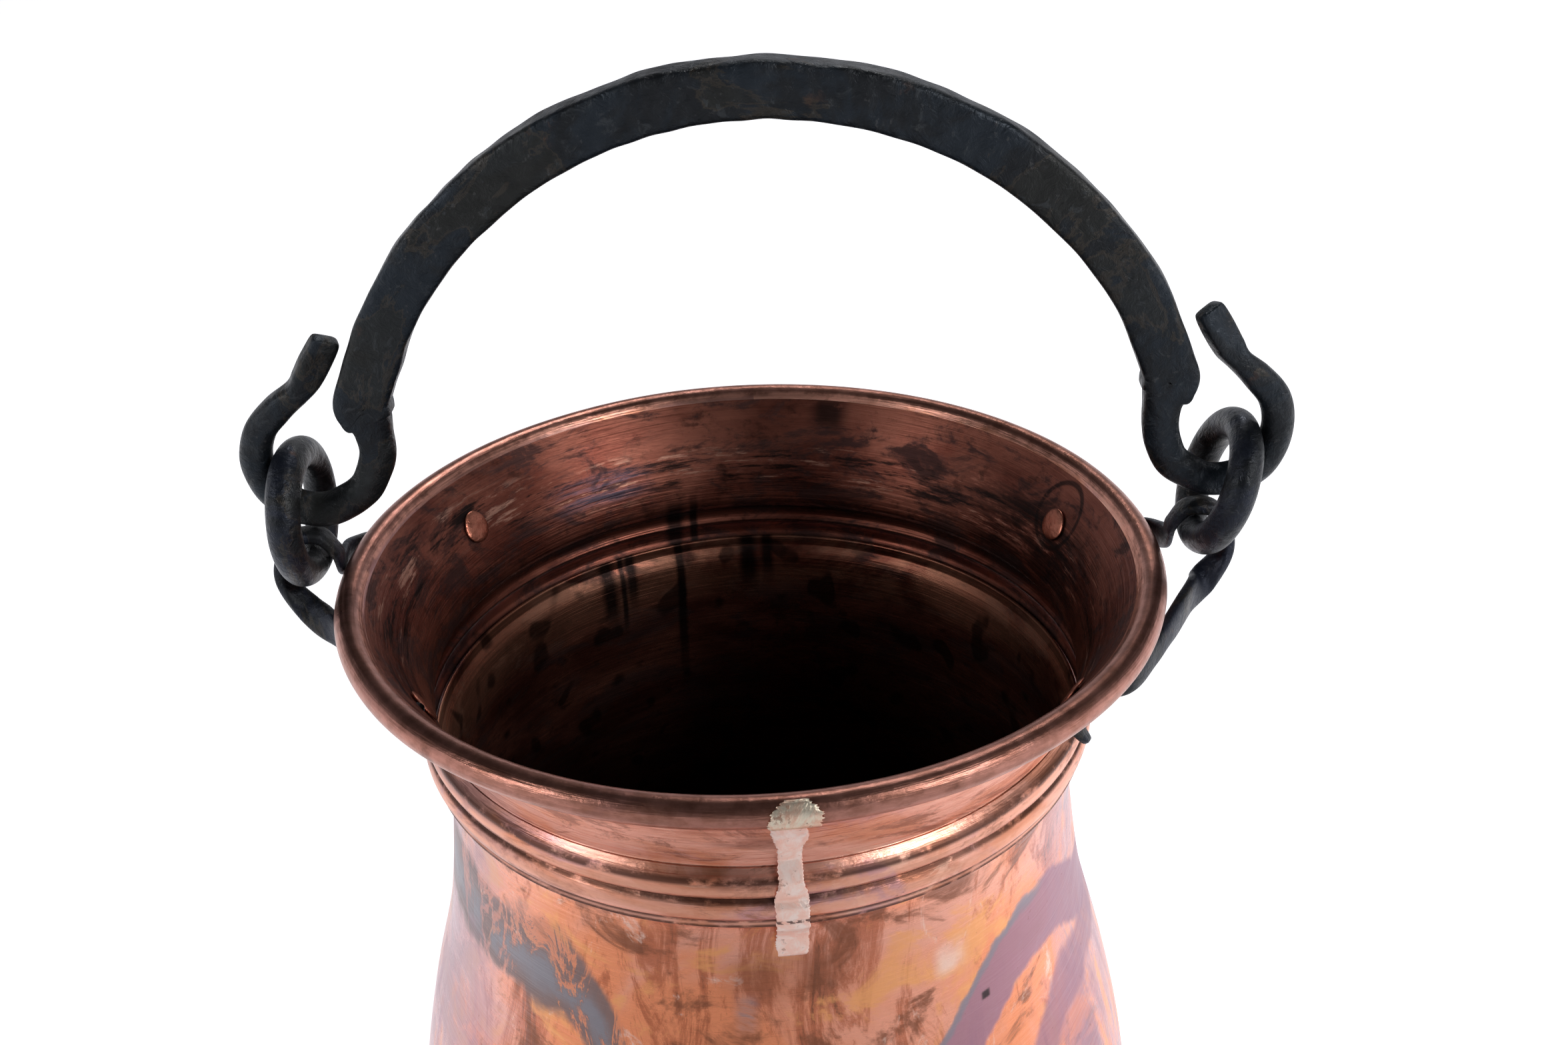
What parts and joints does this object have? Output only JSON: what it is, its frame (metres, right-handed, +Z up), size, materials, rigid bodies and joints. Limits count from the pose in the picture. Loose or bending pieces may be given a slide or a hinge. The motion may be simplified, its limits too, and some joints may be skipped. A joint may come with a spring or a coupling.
{
  "type": "copper pail",
  "caption": "Round-bellied copper pail with a flared, wire-rolled neck, riveted iron ears, linked rings and a forged swinging bail with hooked ends.",
  "frame": {"origin": "centre of the base, on the plane the pail stands on", "axes": "+Z up along the pail's axis, X along the hinge line of rings and bail, -Y towards the seam strip's side (front)"},
  "size_m": [0.2988, 0.248, 0.4175],
  "materials": {
    "bowl_copper": "raised copper, orange and umber with grey-violet fire scale",
    "collar_copper": "turned copper sheet, brown inside, bright worn ridges",
    "strip_copper": "pale pink copper with a solder smear",
    "rivet_copper": "dull red copper",
    "rim_wire_iron": "dark iron wire",
    "ear_iron": "blue-black forged scale",
    "ring_iron": "blue-black forged scale, soft sheen",
    "bail_iron": "blue-black forged scale with brown rust tints"
  },
  "bodies": {
    "vessel": {"body_bowl": "bowl_copper", "neck_collar": "collar_copper", "rim_wire": "rim_wire_iron", "seam_strip": "strip_copper", "ear_left": "ear_iron", "ear_right": "ear_iron", "rivet_left_rear": "rivet_copper", "rivet_left_front": "rivet_copper", "rivet_right_rear": "rivet_copper", "rivet_right_front": "rivet_copper"},
    "ring_left": {"ring_left": "ring_iron"},
    "ring_right": {"ring_right": "ring_iron"},
    "bail": {"bail_handle": "bail_iron"}
  },
  "joints": [
    {"name": "ring_left_swing", "type": "hinge", "parent": "vessel", "child": "ring_left", "pos_m": [-0.1286, 0, 0.28315], "axis": [1, 0, 0], "range_deg": [-40, 40]},
    {"name": "bail_swing", "type": "hinge", "parent": "ring_left", "child": "bail", "pos_m": [-0.123, 0, 0.29275], "axis": [1, 0, 0], "range_deg": [-54, 54]},
    {"name": "ring_right_swing", "type": "hinge", "parent": "vessel", "child": "ring_right", "pos_m": [0.1386, 0, 0.28315], "axis": [1, 0, 0], "range_deg": [-40, 40]}
  ],
  "couplings": [
    {"joint": "ring_right_swing", "follows": "ring_left_swing", "ratio": 1}
  ]
}
